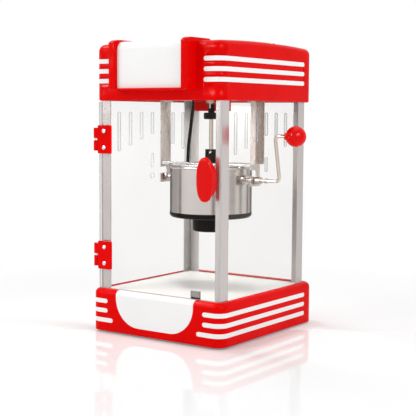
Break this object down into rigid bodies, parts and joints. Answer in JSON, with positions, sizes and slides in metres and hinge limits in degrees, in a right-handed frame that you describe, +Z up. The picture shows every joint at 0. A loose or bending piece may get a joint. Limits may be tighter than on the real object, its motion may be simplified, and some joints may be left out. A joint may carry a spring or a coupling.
{
  "type": "popcorn maker",
  "caption": "Table-top kettle popcorn maker with a clear cabinet, hinged door, tilting kettle with crank and a motor-driven stirrer.",
  "frame": {"origin": "centre of the base's underside, on the flat bottom plate; the rubber feet reach 2.5 mm below it", "axes": "+X to the right as seen from the front, +Y to the back, +Z up"},
  "size_m": [0.2991, 0.273, 0.4325],
  "materials": {
    "red_plastic": "glossy moulded plastic",
    "white_plastic": "smooth white trim",
    "clear_panel": "clear sheet",
    "aluminium": "satin extruded angle",
    "sheet_steel": "plated sheet",
    "polished_steel": "spun and polished",
    "black_plastic": "fine grain",
    "black_enamel": "satin heat resistant paint",
    "rubber": "moulded",
    "red_knob": "polished",
    "grey_plastic": "moulded",
    "fasteners": "zinc plated",
    "lamp_glass": "frosted",
    "lamp_holder": "heat resistant"
  },
  "bodies": {
    "cabinet": {"base_housing": "red_plastic", "front_panel": "white_plastic", "base_stripes": "white_plastic", "bottom_plate": "grey_plastic", "case_screws": "fasteners", "rubber_feet": "rubber", "floor_tray": "white_plastic", "post_front_left": "aluminium", "post_front_right": "aluminium", "post_rear_left": "aluminium", "post_rear_right": "aluminium", "side_panel_left": "clear_panel", "side_panel_right": "clear_panel", "rear_panel": "clear_panel", "ceiling_plate": "sheet_steel", "canopy_shell": "red_plastic", "canopy_stripes": "white_plastic", "sign_frame": "red_plastic", "sign_panel": "white_plastic", "switch_housing": "black_plastic", "cord_gland": "black_plastic", "magnet_catch": "grey_plastic", "upper_post_leaf": "red_plastic", "lower_post_leaf": "red_plastic", "hinge_pins": "fasteners", "post_leaf_screws": "fasteners", "hanger_left": "sheet_steel", "hanger_right": "sheet_steel", "hanger_screws": "fasteners", "motor_shroud": "red_plastic", "gear_motor": "grey_plastic", "motor_bush": "polished_steel", "lamp_socket": "lamp_holder", "lamp_bulb": "lamp_glass"},
    "door": {"door_glass": "clear_panel", "door_handle": "red_plastic", "handle_screws": "fasteners", "door_strike": "sheet_steel", "upper_door_leaf": "red_plastic", "lower_door_leaf": "red_plastic", "door_leaf_screws": "fasteners"},
    "kettle": {"kettle_pot": "polished_steel", "lid_bar": "polished_steel", "lid_rods": "fasteners", "heater_base": "black_enamel", "heating_element": "grey_plastic", "heater_housing": "black_enamel", "axle_left": "sheet_steel", "axle_right": "sheet_steel", "crank_rod": "polished_steel", "ball_knob": "red_knob", "kettle_lead": "rubber"},
    "drive": {"drive_dog": "polished_steel"},
    "stirrer": {"stirrer_hub": "black_plastic", "stirrer_rod": "polished_steel", "drive_shaft": "polished_steel", "drive_disc": "black_plastic"},
    "front_lid": {"front_lid": "polished_steel"},
    "rear_lid": {"rear_lid": "polished_steel"},
    "switch_rocker": {"switch_rocker": "black_plastic"}
  },
  "joints": [
    {"name": "door_hinge", "type": "hinge", "parent": "cabinet", "child": "door", "pos_m": [-0.1146, -0.119, 0.2], "axis": [0, 0, -1], "range_deg": [0, 180]},
    {"name": "kettle_tilt", "type": "hinge", "parent": "cabinet", "child": "kettle", "pos_m": [0, 0.0042, 0.2265], "axis": [1, 0, 0], "range_deg": [0, 95], "deforming": ["kettle_lead"]},
    {"name": "drive_spin", "type": "hinge", "parent": "cabinet", "child": "drive", "pos_m": [0.0075, 0.0042, 0.345], "axis": [0, 0, 1], "continuous": true},
    {"name": "stirrer_spin", "type": "hinge", "parent": "kettle", "child": "stirrer", "pos_m": [0.0075, 0.0042, 0.25], "axis": [0, 0, 1], "continuous": true},
    {"name": "front_lid_hinge", "type": "hinge", "parent": "kettle", "child": "front_lid", "pos_m": [0.0075, -0.0108, 0.2486], "axis": [-1, 0, 0], "range_deg": [0, 90]},
    {"name": "rear_lid_hinge", "type": "hinge", "parent": "kettle", "child": "rear_lid", "pos_m": [0.0075, 0.0192, 0.2486], "axis": [1, 0, 0], "range_deg": [0, 90]},
    {"name": "switch_rock", "type": "hinge", "parent": "cabinet", "child": "switch_rocker", "pos_m": [0.093, 0.03, 0.4245], "axis": [-1, 0, 0], "range_deg": [0, 16]}
  ],
  "couplings": [
    {"joint": "stirrer_spin", "follows": "drive_spin", "ratio": 1}
  ]
}
